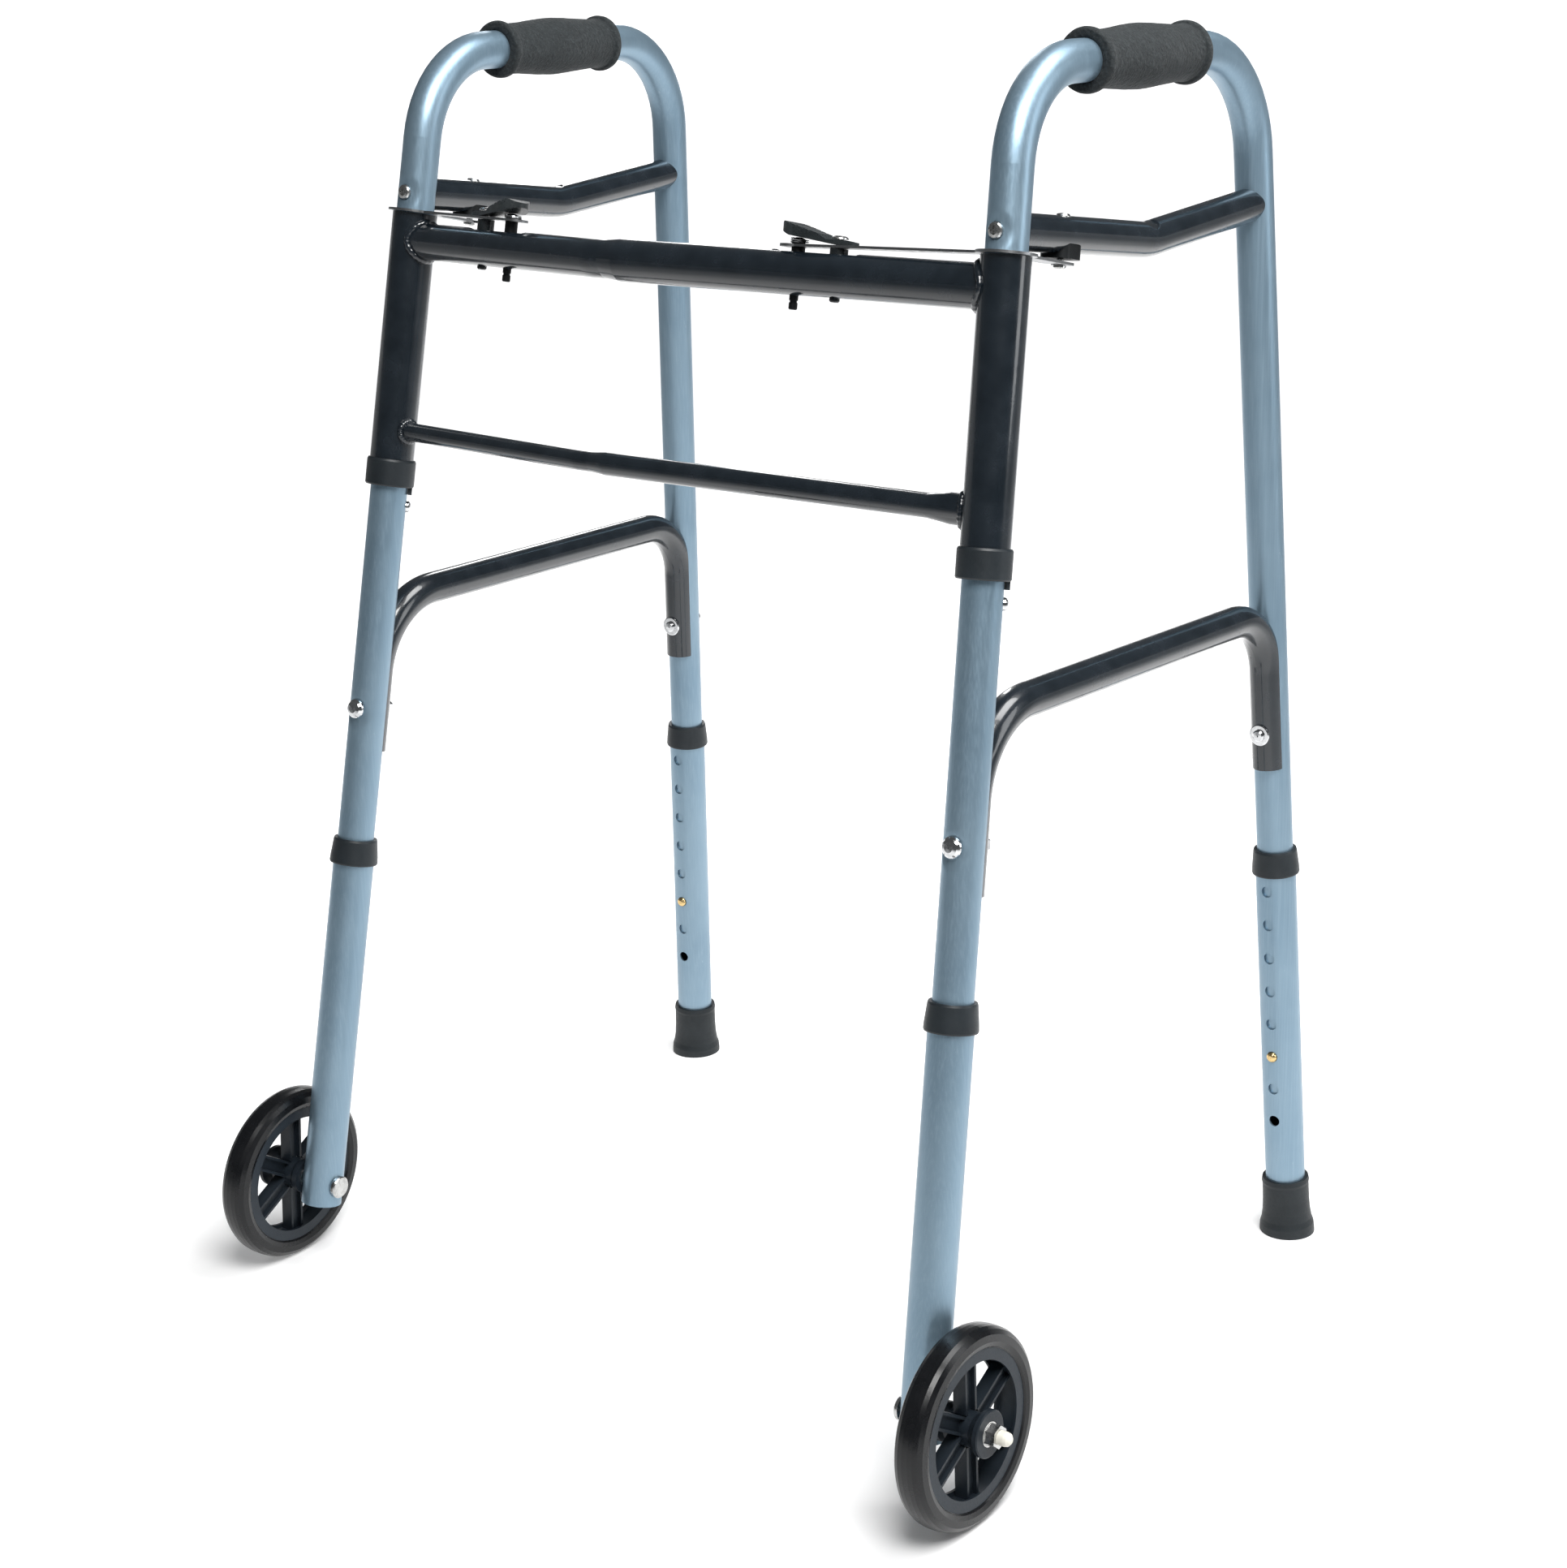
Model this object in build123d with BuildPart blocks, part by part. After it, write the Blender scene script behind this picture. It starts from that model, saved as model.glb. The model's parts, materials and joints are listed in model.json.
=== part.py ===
from build123d import *
import os
from math import atan2, cos, radians, sin, sqrt, tan

os.makedirs("parts", exist_ok=True)

# ------------------------------------------------------------------
# Folding two-button front wheeled walker.  Millimetres, +Z up.
# Front of the walker faces -Y, the user's left side is +X.
# Origin: centre of the bounding box, on the floor.
# ------------------------------------------------------------------

# side frame layout (left frame; the right one mirrors it)
FRONT_X = 277.0            # front-leg axis at floor level
FRONT_Y = -241.85
RIGHT_SETBACK = 41.0       # the right frame stands this much further back
TOE = 2.0                  # degrees the frame plane turns about Z
SPLAY = 0.044              # inward lean per unit height
FRONT_RAKE = 0.199         # backward run of the front leg per unit height
REAR_BASE = 475.0          # rear-leg axis behind the front one at the floor
REAR_RAKE = 0.0457         # forward run of the rear leg per unit height
HANDLE_H = 844.9           # handle centreline
HANDLE_BEND = 68.0

# tubes (radii)
TUBE_R, TUBE_BORE = 12.7, 11.1
EXT_R, EXT_BORE = 14.3, 12.8
BAR_R, BAR_BORE = 11.1, 9.6
SLEEVE_R, SLEEVE_BORE = 15.1, 12.9
UPPER_R, UPPER_SMALL_R, WALL = 13.5, 12.25, 1.6
LOWER_R, LOWER_SMALL_R = 7.5, 6.35

# heights on the legs
SLEEVE_LOW, SLEEVE_TOP = 576.5, 740.0
UPPER_Z, LOWER_Z = 722.0, 596.0
SWAGE_X = -45.0            # where the crossbars step down
BEND_X = -65.0
BEND_BACK = 13.0           # the bend stands this far behind the left sleeve
BAR_FRONT, BAR_KINK, BAR_REAR = 754.2, 735.7, 746.7
KINK_BACK = 151.0
BRACE_FRONT, BRACE_REAR = 478.5, 472.5
BRACE_BOLT_F, BRACE_BOLT_R = 404.4, 387.4
PITCH = 25.4               # leg adjustment pitch
BUTTON_F, BUTTON_R = 160.0, 143.9   # heights of the snap buttons
TUBE_END = -37.0           # main tube end, along the leg from the button
RETAIN_H = 545.0           # retaining button height

# wheels and feet
WHEEL_R, TYRE_BORE, TYRE_W = 63.5, 50.5, 21.2
WHEEL_OUT = 31.0           # mid-plane outboard of the leg axis
AXLE_OFF = -99.85          # axle centre, along the leg from the button
AXLE_R = 4.0
FOOT_H = 44.0

# latch
LATCH_H = 740.4            # underside of the latch plate at the leg axis
PLATE_T = 1.6
PIN_BACK = 57.0            # lock pin behind the front-leg axis
LEFT_PIVOT, LEFT_PLUNGER = 121.0, 152.0
RIGHT_PIVOT, RIGHT_PLUNGER = 76.0, 102.0

GAP = 0.05

# ------------------------------------------------------------------
# frame of reference of the left side frame
# ------------------------------------------------------------------
O = Vector(FRONT_X, FRONT_Y, 0)
S = Vector(sin(radians(TOE)), cos(radians(TOE)), 0)              # backward
T = Vector(-SPLAY, SPLAY * tan(radians(TOE)), 1).normalized()    # up the frame
N = S.cross(T)                                                   # outboard
SIDE = Plane(origin=O, x_dir=S, z_dir=N)                         # x back, y up

D_F = (T + S * FRONT_RAKE).normalized()   # up the front leg
B_F = D_F.cross(N)                        # backward, square to it
D_R = (T - S * REAR_RAKE).normalized()    # up the rear leg
B_R = D_R.cross(N)


def at(s, t, n=0.0):
    return O + S * s + T * t + N * n


def front(z, off=0.0):
    """Plane square to the front leg at height z, moved off mm up the leg.
    x is outboard, y backward."""
    t = z / T.Z
    return Plane(origin=at(FRONT_RAKE * t, t) + D_F * off, x_dir=N, z_dir=D_F)


def rear(z, off=0.0):
    t = z / T.Z
    return Plane(origin=at(REAR_BASE - REAR_RAKE * t, t) + D_R * off, x_dir=N, z_dir=D_R)


def radial(leg, angle, out=0.0):
    """Plane looking out of a leg, angle degrees from outboard towards the back."""
    d = leg.x_dir * cos(radians(angle)) + leg.y_dir * sin(radians(angle))
    return Plane(origin=leg.origin + d * out, x_dir=leg.z_dir, z_dir=d)


def turned_plane(p):
    return Plane(origin=p.origin, x_dir=p.x_dir, z_dir=p.y_dir * -1)


def rod(plane, r, length, mode=Mode.ADD):
    with BuildSketch(plane) as disc:
        Circle(r)
    extrude(disc.sketch, amount=length, mode=mode)


def tube(plane, r_out, r_in, length):
    with BuildSketch(plane) as ring:
        Circle(r_out)
        Circle(r_in, mode=Mode.SUBTRACT)
    extrude(ring.sketch, amount=length)


def turned(plane, points, mode=Mode.ADD):
    """Solid of revolution about the plane's normal, from (radius, height) points."""
    with BuildSketch(turned_plane(plane)) as profile:
        with BuildLine():
            Polyline(*points, close=True)
        make_face()
    revolve(profile.sketch, axis=Axis(plane.origin, plane.z_dir), mode=mode)


def bent(path, r, mode=Mode.ADD):
    """Round section swept along a path."""
    with BuildSketch(Plane(origin=path @ 0, z_dir=path % 0)) as disc:
        Circle(r)
    sweep(disc.sketch, path=path, mode=mode)


def moved_up(plane, d):
    return Plane(origin=plane.origin + plane.z_dir * d, x_dir=plane.x_dir, z_dir=plane.z_dir)


def flipped(plane):
    return Plane(origin=plane.origin, x_dir=plane.x_dir, z_dir=plane.z_dir * -1)


def across(part):
    """The same piece on the right side."""
    return mirror(part, about=Plane.YZ, mode=Mode.PRIVATE).moved(Location((0, RIGHT_SETBACK, 0)))


# ------------------------------------------------------------------
# centrelines of the left frame
# ------------------------------------------------------------------
f_end = front(BUTTON_F, TUBE_END).origin
r_end = rear(BUTTON_R, TUBE_END).origin


def in_side(p):
    v = p - O
    return (v.dot(S), v.dot(T))


with BuildLine(SIDE) as frame_line:
    FilletPolyline(
        in_side(f_end),
        (FRONT_RAKE * HANDLE_H, HANDLE_H),
        (REAR_BASE - REAR_RAKE * HANDLE_H, HANDLE_H),
        in_side(r_end),
        radius=HANDLE_BEND,
    )

bar_a = (FRONT_RAKE * BAR_FRONT, BAR_FRONT)
bar_k = (bar_a[0] + KINK_BACK, BAR_KINK)
bar_b = (REAR_BASE - REAR_RAKE * BAR_REAR, BAR_REAR)
with BuildLine(SIDE) as bar_line:
    FilletPolyline(bar_a, bar_k, bar_b, radius=90)
bar_dir_a = (at(*bar_k) - at(*bar_a)).normalized()
bar_dir_b = (at(*bar_k) - at(*bar_b)).normalized()
BAR_A = Plane(origin=at(*bar_a), x_dir=N, z_dir=bar_dir_a)     # out of the front leg
BAR_B = Plane(origin=at(*bar_b), x_dir=N, z_dir=bar_dir_b)     # out of the rear leg

saddle = 5.65
brace_pts = [
    (FRONT_RAKE * 374.4 + saddle * 1.02, 374.4),
    (FRONT_RAKE * BRACE_FRONT + saddle * 1.02, BRACE_FRONT),
    (REAR_BASE - REAR_RAKE * BRACE_REAR - saddle, BRACE_REAR),
    (REAR_BASE - REAR_RAKE * 361.4 - saddle, 361.4),
]
with BuildLine(SIDE) as brace_line:
    FilletPolyline(*brace_pts, radius=[60, 45])
brace_dir = (at(*brace_pts[2]) - at(*brace_pts[1])).normalized()

BOLT_F = radial(front(BRACE_BOLT_F), -90)      # out of the leg's front face
BOLT_R = radial(rear(BRACE_BOLT_R), -90)
SNAP_F = front(BUTTON_F)
SNAP_R = rear(BUTTON_R)

# latch directions: c runs inboard along the crossbar, u stands square to it
def latch_axes(run):
    c = Vector(-1, run, 0).normalized()
    u = (D_F - c * D_F.dot(c)).normalized()
    fall = (-(D_F.X * c.X + D_F.Y * c.Y) / D_F.Z) / 2
    a = Vector(c.X, c.Y, fall).normalized()
    n = (D_F - a * D_F.dot(a)).normalized()
    return c, u, a, n


u_left = front(UPPER_Z).origin
u_right = Vector(-u_left.X, u_left.Y + RIGHT_SETBACK, u_left.Z)
l_left = front(LOWER_Z).origin
l_right = Vector(-l_left.X, l_left.Y + RIGHT_SETBACK, l_left.Z)
run_right = -(RIGHT_SETBACK - BEND_BACK) / (BEND_X - u_right.X)
run_left = BEND_BACK / (u_left.X - BEND_X)
AX_L = latch_axes(run_left)
AX_R = latch_axes(run_right)


def stack(axes, out):
    """Plane on the upper crossbar's centreline, out mm from the leg axis."""
    c, u, a, n = axes
    return Plane(origin=u_left + c * out, x_dir=c, z_dir=u)


def plate_plane(axes):
    c, u, a, n = axes
    return Plane(origin=front(LATCH_H).origin, x_dir=a, z_dir=n)


def plate_height(axes, out):
    """Height of the plate's underside above the crossbar centreline."""
    c, u, a, n = axes
    p0 = front(LATCH_H).origin
    q = u_left + c * out
    return (p0 - q).dot(n) / u.dot(n)


def plate_xy(axes, out):
    """Where a bolt on the crossbar crosses the latch plate, in the plate's plane."""
    c, u, a, n = axes
    p = plate_plane(axes)
    v = u_left + c * out + u * plate_height(axes, out) - p.origin
    return v.dot(p.x_dir), v.dot(p.y_dir)


# ==================================================================
# front frame
# ==================================================================
with BuildPart() as left_pivot_sleeve:
    tube(front(SLEEVE_LOW), SLEEVE_R, SLEEVE_BORE, (SLEEVE_TOP - SLEEVE_LOW) / D_F.Z)

with BuildPart() as sleeve_core:
    rod(front(SLEEVE_LOW, -30), SLEEVE_R + GAP, (SLEEVE_TOP - SLEEVE_LOW) / D_F.Z + 60)

with BuildPart() as left_sleeve_collar:
    turned(front(SLEEVE_LOW, -0.1), [
        (12.85, -18.6), (16.2, -18.6), (16.75, -17.6), (16.75, -1.4), (16.0, 0), (12.85, 0)])
    tab = radial(front(SLEEVE_LOW, -18.2), 45, 12.9)
    with BuildSketch(tab) as tab_face:
        with Locations((-2.5, 0)):
            Rectangle(6, 8.5)
    extrude(tab_face.sketch, amount=2.6)
    rod(front(SLEEVE_LOW, -30), 12.85, 40, mode=Mode.SUBTRACT)

with BuildPart() as right_sleeve_collar_blank:
    turned(front(SLEEVE_LOW, -0.1), [
        (12.85, -18.6), (16.2, -18.6), (16.75, -17.6), (16.75, -1.4), (16.0, 0), (12.85, 0)])
    tab_r = radial(front(SLEEVE_LOW, -18.2), 135, 12.9)
    with BuildSketch(tab_r) as tab_face_r:
        with Locations((-2.5, 0)):
            Rectangle(6, 8.5)
    extrude(tab_face_r.sketch, amount=2.6)
    rod(front(SLEEVE_LOW, -30), 12.85, 40, mode=Mode.SUBTRACT)


def drill(axes, pivot, plunger, r_bar):
    """Holes and top flat that the latch needs in the crossbar."""
    c = axes[0]
    for out, r_top, r_low in ((pivot, 2.55, 2.55), (plunger, 4.4, 2.95)):
        rod(stack(axes, out), r_top, 30)
        rod(flipped(stack(axes, out)), r_low, 30)
    flat = moved_up(stack(axes, (pivot + plunger) / 2), r_bar - 1.2)
    with BuildSketch(flat) as patch:
        RectangleRounded(plunger - pivot + 34, 40, 4)
    extrude(patch.sketch, amount=10)


with BuildPart() as left_latch_drill:
    drill(AX_L, LEFT_PIVOT, LEFT_PLUNGER, UPPER_R)
with BuildPart() as right_latch_drill:
    drill(AX_R, RIGHT_PIVOT, RIGHT_PLUNGER, UPPER_SMALL_R)

def bend_route(start, end):
    corner = Vector(BEND_X, start.Y + BEND_BACK, start.Z)
    first = corner + (start - corner).normalized() * (SWAGE_X - 8 - BEND_X)
    return first, corner, end


with BuildLine() as upper_bend:
    FilletPolyline(*bend_route(u_left, u_right), radius=40)
with BuildLine() as lower_bend:
    FilletPolyline(*bend_route(l_left, l_right), radius=40)


def big_end(start):
    """Plane at the large end, looking along the bar."""
    along = (Vector(BEND_X, start.Y + BEND_BACK, start.Z) - start).normalized()
    return Plane(origin=start, x_dir=along.cross(Vector(0, 0, 1)), z_dir=along)


def crossbar_form(start, bend, r_big, r_small):
    """Straight large end, swage and bent small end."""
    run = big_end(start)
    straight = start.X - SWAGE_X
    turned(run, [(0, 0), (r_big, 0), (r_big, straight - 4), (r_small, straight + 8.5), (0, straight + 8.5)])
    bent(bend, r_small)


with BuildPart() as upper_bore:
    crossbar_form(u_left, upper_bend.line, UPPER_R - WALL, UPPER_SMALL_R - WALL)
with BuildPart() as upper_crossbar:
    crossbar_form(u_left, upper_bend.line, UPPER_R, UPPER_SMALL_R)
    add(upper_bore.part, mode=Mode.SUBTRACT)
    add(sleeve_core.part, mode=Mode.SUBTRACT)
    add(across(sleeve_core.part), mode=Mode.SUBTRACT)
    add(left_latch_drill.part, mode=Mode.SUBTRACT)
    add(across(right_latch_drill.part), mode=Mode.SUBTRACT)

lower_end = big_end(l_left)
with BuildPart() as lower_bore:
    crossbar_form(l_left, lower_bend.line, LOWER_R - 1.3, LOWER_SMALL_R - 1.3)
with BuildPart() as lower_crossbar:
    crossbar_form(l_left, lower_bend.line, LOWER_R, LOWER_SMALL_R)
    # the large end is pressed to an upright oval against the sleeve
    with BuildSketch(lower_end):
        Ellipse(6.9, 9.6)
    extrude(amount=26)
    with BuildSketch(moved_up(lower_end, 26)):
        Ellipse(6.9, 9.6)
    with BuildSketch(moved_up(lower_end, 42)):
        Circle(LOWER_R)
    loft()
    add(lower_bore.part, mode=Mode.SUBTRACT)
    add(sleeve_core.part, mode=Mode.SUBTRACT)
    add(across(sleeve_core.part), mode=Mode.SUBTRACT)

# ==================================================================
# left side frame
# ==================================================================
with BuildPart() as frame_blank:
    bent(frame_line.line, TUBE_R)
    bent(frame_line.line, TUBE_BORE, mode=Mode.SUBTRACT)
    # side bar screws
    rod(Plane(origin=BAR_A.origin - BAR_A.z_dir * 20, x_dir=N, z_dir=BAR_A.z_dir), 2.7, 40, mode=Mode.SUBTRACT)
    rod(Plane(origin=BAR_B.origin - BAR_B.z_dir * 20, x_dir=N, z_dir=BAR_B.z_dir), 2.7, 40, mode=Mode.SUBTRACT)
    # shallow seats for the screw heads
    rod(moved_up(flipped(BAR_A), 11.9), 5.4, 5, mode=Mode.SUBTRACT)
    rod(moved_up(flipped(BAR_B), 11.9), 5.4, 5, mode=Mode.SUBTRACT)
    # brace bolts
    rod(moved_up(BOLT_F, -20), 3.2, 40, mode=Mode.SUBTRACT)
    rod(moved_up(BOLT_R, -20), 3.2, 40, mode=Mode.SUBTRACT)
    # snap buttons: front leg faces back, rear leg faces front
    rod(radial(SNAP_F, 90), 4.1, 20, mode=Mode.SUBTRACT)
    rod(radial(SNAP_R, -90), 4.1, 20, mode=Mode.SUBTRACT)

with BuildPart() as left_side_frame:
    add(frame_blank.part)
    rod(radial(front(RETAIN_H), 45), 4.15, 20, mode=Mode.SUBTRACT)

with BuildPart() as right_frame_blank:
    add(frame_blank.part)
    rod(radial(front(RETAIN_H), 135), 4.15, 20, mode=Mode.SUBTRACT)

grip_mid = (FRONT_RAKE * HANDLE_H + REAR_BASE - REAR_RAKE * HANDLE_H) / 2 - 5.6
GRIP = Plane(origin=at(grip_mid - 60, HANDLE_H), x_dir=N, z_dir=S)
with BuildPart() as left_hand_grip:
    turned(GRIP, [
        (12.75, 0), (18.4, 0), (19.2, 1.5), (19.3, 6), (18.0, 9.5), (17.7, 20), (18.3, 36),
        (19.2, 50), (19.4, 60), (19.2, 70), (18.3, 84), (17.7, 100), (18.0, 110.5),
        (19.3, 114), (19.2, 118.5), (18.4, 120), (12.75, 120)])

with BuildPart() as leg_cores:
    rod(front(600), TUBE_R + GAP, 200)
    rod(rear(600), TUBE_R + GAP, 200)
with BuildPart() as low_leg_cores:
    rod(front(330), TUBE_R + GAP, 200)
    rod(rear(330), TUBE_R + GAP, 200)

# lock pin: square to the leg, straight through the side bar
PIN = Plane(origin=front(LATCH_H).origin + B_F * PIN_BACK, x_dir=N, z_dir=D_F)

with BuildPart() as left_side_bar:
    bent(bar_line.line, BAR_R)
    bent(bar_line.line, BAR_BORE, mode=Mode.SUBTRACT)
    add(leg_cores.part, mode=Mode.SUBTRACT)
    rod(PIN, 2.35, 60, mode=Mode.SUBTRACT)

with BuildPart() as left_bar_plugs:
    # hidden plugs that the end screws bite into
    rod(moved_up(BAR_A, 14.6), BAR_BORE - GAP, 20)
    rod(moved_up(BAR_B, 14.6), BAR_BORE - GAP, 20)
    rod(BAR_A, 2.55, 60, mode=Mode.SUBTRACT)
    rod(BAR_B, 2.55, 60, mode=Mode.SUBTRACT)
    add(leg_cores.part, mode=Mode.SUBTRACT)


def pan_screw(seat, length):
    """Pan-head cross-recessed screw; seat is under the head, normal pointing out."""
    turned(seat, [(0, 0), (4.9, 0), (4.9, 1.5), (4.2, 2.5), (2.6, 3.1), (0, 3.2)])
    rod(flipped(seat), 2.5, length)
    with BuildSketch(moved_up(seat, 1.7)) as cross:
        Rectangle(5.4, 1.1)
        Rectangle(1.1, 5.4)
    extrude(cross.sketch, amount=3, mode=Mode.SUBTRACT)


with BuildPart() as left_bar_screws:
    pan_screw(moved_up(flipped(BAR_A), 11.95), 43)
    pan_screw(moved_up(flipped(BAR_B), 11.95), 43)

with BuildPart() as left_lower_brace:
    bent(brace_line.line, BAR_R)
    add(low_leg_cores.part, mode=Mode.SUBTRACT)
    # hollow middle with its drain hole
    mid = at(brace_pts[1][0] + 70, brace_pts[1][1] - 6.0 * 70 / (brace_pts[2][0] - brace_pts[1][0]))
    rod(Plane(origin=mid, x_dir=N, z_dir=brace_dir), BAR_BORE, 215, mode=Mode.SUBTRACT)
    rod(Plane(origin=mid + brace_dir * 108, x_dir=N, z_dir=T * -1), 2.0, 20, mode=Mode.SUBTRACT)
    # bolt holes through the saddles
    rod(moved_up(BOLT_F, -30), 3.2, 30, mode=Mode.SUBTRACT)
    rod(BOLT_R, 3.2, 30, mode=Mode.SUBTRACT)

with BuildPart() as left_brace_bolts:
    # front: domed head on the front face, nut on the saddle behind
    turned(moved_up(BOLT_F, 12.75), [(0, 0), (6.9, 0), (6.6, 1.2), (5.2, 2.9), (3.0, 3.9), (0, 4.2)])
    rod(moved_up(BOLT_F, -21.0), 3.0, 34)
    with BuildSketch(moved_up(flipped(BOLT_F), 16.95)) as nut_f:
        RegularPolygon(5.6, 6)
        Circle(3.05, mode=Mode.SUBTRACT)
    extrude(nut_f.sketch, amount=3.6)
    # rear: small screw head on the washer, domed nut behind the leg
    turned(moved_up(BOLT_R, 18.1), [(0, 0), (4.2, 0), (4.2, 1.2), (3.2, 2.2), (0, 2.6)])
    rod(moved_up(BOLT_R, -16.0), 3.0, 34.2)
    turned(moved_up(flipped(BOLT_R), 12.75), [
        (3.05, 0), (6.0, 0), (6.0, 2.2), (4.6, 4.4), (2.0, 5.4), (0, 5.5), (0, 4.0), (3.05, 4.0)])

with BuildPart() as left_brace_washers:
    turned(moved_up(BOLT_R, 16.85), [(3.1, 0), (7.5, 0), (7.5, 0.8), (6.9, 1.2), (3.1, 1.2)])

with BuildPart() as bar_outer:
    bent(bar_line.line, BAR_R + GAP)

with BuildPart() as left_lock_pin:
    turned(moved_up(PIN, 21), [(0, 0), (4.6, 0), (4.6, 7.2), (3.8, 8.6), (0, 9.4)])
    add(bar_outer.part, mode=Mode.SUBTRACT)
    rod(moved_up(PIN, -1.0), 2.2, 30.4)
    turned(moved_up(PIN, -2.3), [(0, 0), (3.0, 0), (3.9, 0.7), (3.9, 1.9), (0, 1.9)])

with BuildPart() as left_catch_block:
    with BuildSketch(moved_up(PIN, 3.35)) as block:
        RectangleRounded(20, 21, 6)
    extrude(block.sketch, amount=8.5)
    add(bar_outer.part, mode=Mode.SUBTRACT)
    rod(PIN, 2.3, 40, mode=Mode.SUBTRACT)
    keep_low = moved_up(PIN, 3.35)


def dome_button(plane, r, base, tip):
    """Round button along the plane's normal, from base to a domed tip."""
    turned(plane, [
        (0, base), (r, base), (r, tip - r * 0.55), (r * 0.92, tip - r * 0.32),
        (r * 0.72, tip - r * 0.13), (r * 0.4, tip - r * 0.03), (0, tip)])


def snap_button(plane, side):
    """Ball-ended button riveted to a bent leaf spring; side tells which way up the leaf runs."""
    dome_button(plane, 3.9, 8.9, 16.9)
    # the leaf runs up the tube: x of the plane follows the leg
    leaf = Plane(origin=plane.origin - plane.y_dir * 3.5, x_dir=plane.x_dir, z_dir=plane.y_dir)
    sgn = 1.0 if (leaf.y_dir.dot(plane.z_dir) > 0) else -1.0
    pts = [(-5.5, 9.1), (6, 9.1), (34, 4.2), (38, 1.8), (34, -0.8), (0, -5.6),
           (0, -4.8), (33.6, 0.1), (36.9, 1.8), (33.6, 3.3), (6, 8.2), (-5.5, 8.2)]
    with BuildSketch(leaf) as strip:
        with BuildLine():
            Polyline(*[(x, sgn * y) for x, y in pts], close=True)
        make_face()
    extrude(strip.sketch, amount=7.0)


with BuildPart() as left_retaining_button:
    dome_button(radial(front(RETAIN_H), 45), 4.05, 7.5, 15.9)
with BuildPart() as right_retaining_blank:
    dome_button(radial(front(RETAIN_H), 135), 4.05, 7.5, 15.9)

with BuildPart() as left_front_snap_button:
    snap_button(radial(SNAP_F, 90), 1)
with BuildPart() as left_rear_snap_button:
    snap_button(radial(SNAP_R, -90), 1)

# ==================================================================
# left leg extensions, collars, foot
# ==================================================================
def extension(leg, low, face_angle):
    tube(moved_up(leg, low), EXT_R, EXT_BORE, 153.0 - low)
    for k in range(-2, 6):
        rod(radial(moved_up(leg, PITCH * k), face_angle), 4.1, 20, mode=Mode.SUBTRACT)


def collar(leg):
    turned(moved_up(leg, 138), [
        (EXT_R + GAP, 0), (16.5, 0), (16.85, 1.0), (16.6, 5.0), (15.4, 16.6), (14.9, 18),
        (12.85, 18), (12.85, 15.4), (EXT_R + GAP, 15.4)])


with BuildPart() as left_front_extension:
    extension(SNAP_F, -115.0, 90)
    rod(radial(front(BUTTON_F, AXLE_OFF), 0, -20), 4.1, 40, mode=Mode.SUBTRACT)
with BuildPart() as left_rear_extension:
    extension(SNAP_R, -134.6, -90)
with BuildPart() as left_front_collar:
    collar(SNAP_F)
with BuildPart() as left_rear_collar:
    collar(SNAP_R)

foot_base = rear(0.0)
with BuildPart() as left_foot_tip:
    turned(foot_base, [
        (0, -3), (20.1, -3), (20.1, 3.0), (19.7, 7), (18.4, 11), (17.5, 17), (17.0, 26),
        (16.9, 39), (17.3, 41), (16.8, FOOT_H), (EXT_R + GAP, FOOT_H), (EXT_R + GAP, 8.6), (0, 8.6)])
    with BuildSketch(Plane(origin=(foot_base.origin.X, foot_base.origin.Y, 0), z_dir=(0, 0, -1))):
        Rectangle(80, 80)
    extrude(amount=20, mode=Mode.SUBTRACT)

# ==================================================================
# left wheel
# ==================================================================
AXLE = radial(front(BUTTON_F, AXLE_OFF), 0)          # normal points outboard
WHEEL = moved_up(AXLE, WHEEL_OUT)

with BuildPart() as left_tyre:
    half = TYRE_W / 2
    turned(WHEEL, [
        (TYRE_BORE + GAP, -8.6), (51.6, -9.6), (54.5, -half), (59.0, -half + 0.5), (61.8, -8.0),
        (63.1, -5.2), (WHEEL_R, -2.0), (WHEEL_R, 2.0), (63.1, 5.2), (61.8, 8.0),
        (59.0, half - 0.5), (54.5, half), (51.6, 9.6), (TYRE_BORE + GAP, 8.6)])

with BuildPart() as left_wheel_hub:
    # rim with a recessed web, hub barrel with end flanges
    turned(WHEEL, [
        (43.0, -8.4), (TYRE_BORE, -8.4), (TYRE_BORE, 8.4), (43.0, 8.4), (43.0, 6.6), (45.4, 5.6),
        (45.4, -5.6), (43.0, -6.6)])
    turned(WHEEL, [
        (4.06, -16), (12.6, -16), (12.6, -12), (11.0, -9), (11.0, 9), (13.2, 12.5), (15.0, 14.5),
        (15.0, 17.4), (14.2, 18), (8.2, 18), (8.2, 16.6), (4.06, 16.6)])
    # six I-section spokes
    for k in range(6):
        ang = radians(9 + 60 * k)
        d = WHEEL.x_dir * cos(ang) + WHEEL.y_dir * sin(ang)
        w = WHEEL.z_dir.cross(d)
        sp = Plane(origin=WHEEL.origin, x_dir=w, z_dir=d)
        with BuildSketch(moved_up(sp, 10.6)) as i_section:
            Rectangle(11.5, 3.4)
            with Locations((-4.85, 0), (4.85, 0)):
                Rectangle(1.9, 9.2)
        extrude(i_section.sketch, amount=35.2)
    rod(moved_up(WHEEL, -20), 4.06, 40, mode=Mode.SUBTRACT)

with BuildPart() as left_wheel_axle:
    turned(moved_up(flipped(AXLE), EXT_R + 0.1), [(0, 0), (8, 0), (8, 2.2), (7.3, 3.0), (0, 3.0)])
    rod(moved_up(AXLE, -EXT_R - 0.5), AXLE_R, EXT_R + 0.5 + 56.0)

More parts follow.
